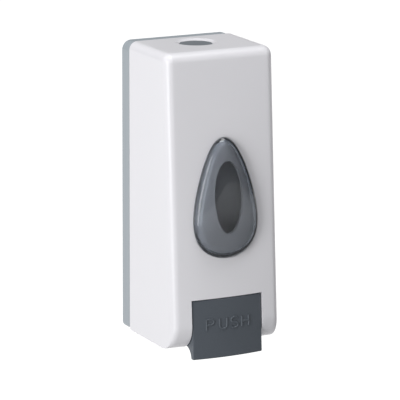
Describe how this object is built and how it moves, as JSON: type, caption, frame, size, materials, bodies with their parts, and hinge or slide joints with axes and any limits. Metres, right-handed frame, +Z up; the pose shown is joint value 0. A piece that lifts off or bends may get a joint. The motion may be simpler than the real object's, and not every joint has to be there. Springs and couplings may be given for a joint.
{
  "type": "wall mounted soap dispenser",
  "caption": "White wall mounted liquid soap dispenser with a leaning rounded cover, smoked drop shaped window, dark grey push lever, grey back plate and round release button on top.",
  "frame": {"origin": "middle of the wall face of the back plate", "axes": "+X to the right when facing the dispenser, +Y into the wall, +Z up"},
  "size_m": [0.08, 0.0836, 0.2057],
  "materials": {
    "white_plastic": "moulded ABS with a soft sheen",
    "grey_plastic": "moulded ABS, satin",
    "slate_plastic": "moulded ABS, fine satin",
    "smoked_lens": "clear smoked polycarbonate, polished",
    "tank_plastic": "blown translucent polyethylene",
    "pump_plastic": "natural polypropylene, smooth",
    "silicone": "translucent grey silicone",
    "black_rubber": "black nitrile rubber, matt",
    "steel": "drawn stainless steel"
  },
  "bodies": {
    "chassis": {"back_plate": "grey_plastic", "hinge_pins": "steel"},
    "tank": {"reservoir": "tank_plastic", "filler_pin": "pump_plastic", "neck_gasket": "silicone", "collar_nut": "pump_plastic", "pump_body": "pump_plastic", "inlet_seat": "pump_plastic", "guide_cap": "pump_plastic", "inlet_spring": "steel", "piston_spring": "steel"},
    "ball": {"inlet_ball": "steel"},
    "flap": {"filler_cap": "pump_plastic", "filler_seal": "silicone"},
    "plunger": {"piston": "pump_plastic", "piston_seal": "black_rubber", "spout": "pump_plastic", "drip_valve": "silicone"},
    "cover": {"front_cover": "white_plastic", "window_surround": "white_plastic", "window_lens": "smoked_lens", "lever_pin": "steel", "spring_bridge": "white_plastic", "bridge_screws": "steel", "button_spring": "steel"},
    "lever": {"push_lever": "slate_plastic"},
    "button": {"release_button": "grey_plastic"}
  },
  "joints": [
    {"name": "cover_hinge", "type": "hinge", "parent": "chassis", "child": "cover", "pos_m": [0, -0.0141, -0.0968], "axis": [1, 0, 0], "range_deg": [0, 90]},
    {"name": "lever_hinge", "type": "hinge", "parent": "cover", "child": "lever", "pos_m": [0, -0.0705, -0.0611], "axis": [1, 0, 0], "range_deg": [0, 12], "stiffness_Nm_per_rad": 1.2, "springref_deg": -4.58},
    {"name": "piston_slide", "type": "slide", "parent": "tank", "child": "plunger", "axis": [0, 0, 1], "range_m": [0, 0.00735], "deforming": ["piston_spring"]},
    {"name": "button_slide", "type": "slide", "parent": "cover", "child": "button", "axis": [0, 0, 1], "range_m": [-0.004, 0], "stiffness_N_per_m": 800, "springref_m": 0.002, "deforming": ["button_spring"]},
    {"name": "tank_lift", "type": "slide", "parent": "chassis", "child": "tank", "axis": [0, 0, 1], "range_m": [0, 0.008]},
    {"name": "flap_hinge", "type": "hinge", "parent": "tank", "child": "flap", "pos_m": [0, -0.0292, 0.045], "axis": [-1, 0, 0], "range_deg": [0, 95]},
    {"name": "inlet_ball_slide", "type": "slide", "parent": "tank", "child": "ball", "axis": [0, 0, 1], "range_m": [-0.0015, 0], "stiffness_N_per_m": 20, "springref_m": 0.001, "deforming": ["inlet_spring"]}
  ],
  "couplings": [
    {"joint": "piston_slide", "follows": "lever_hinge", "m_per_rad": 0.0351}
  ]
}
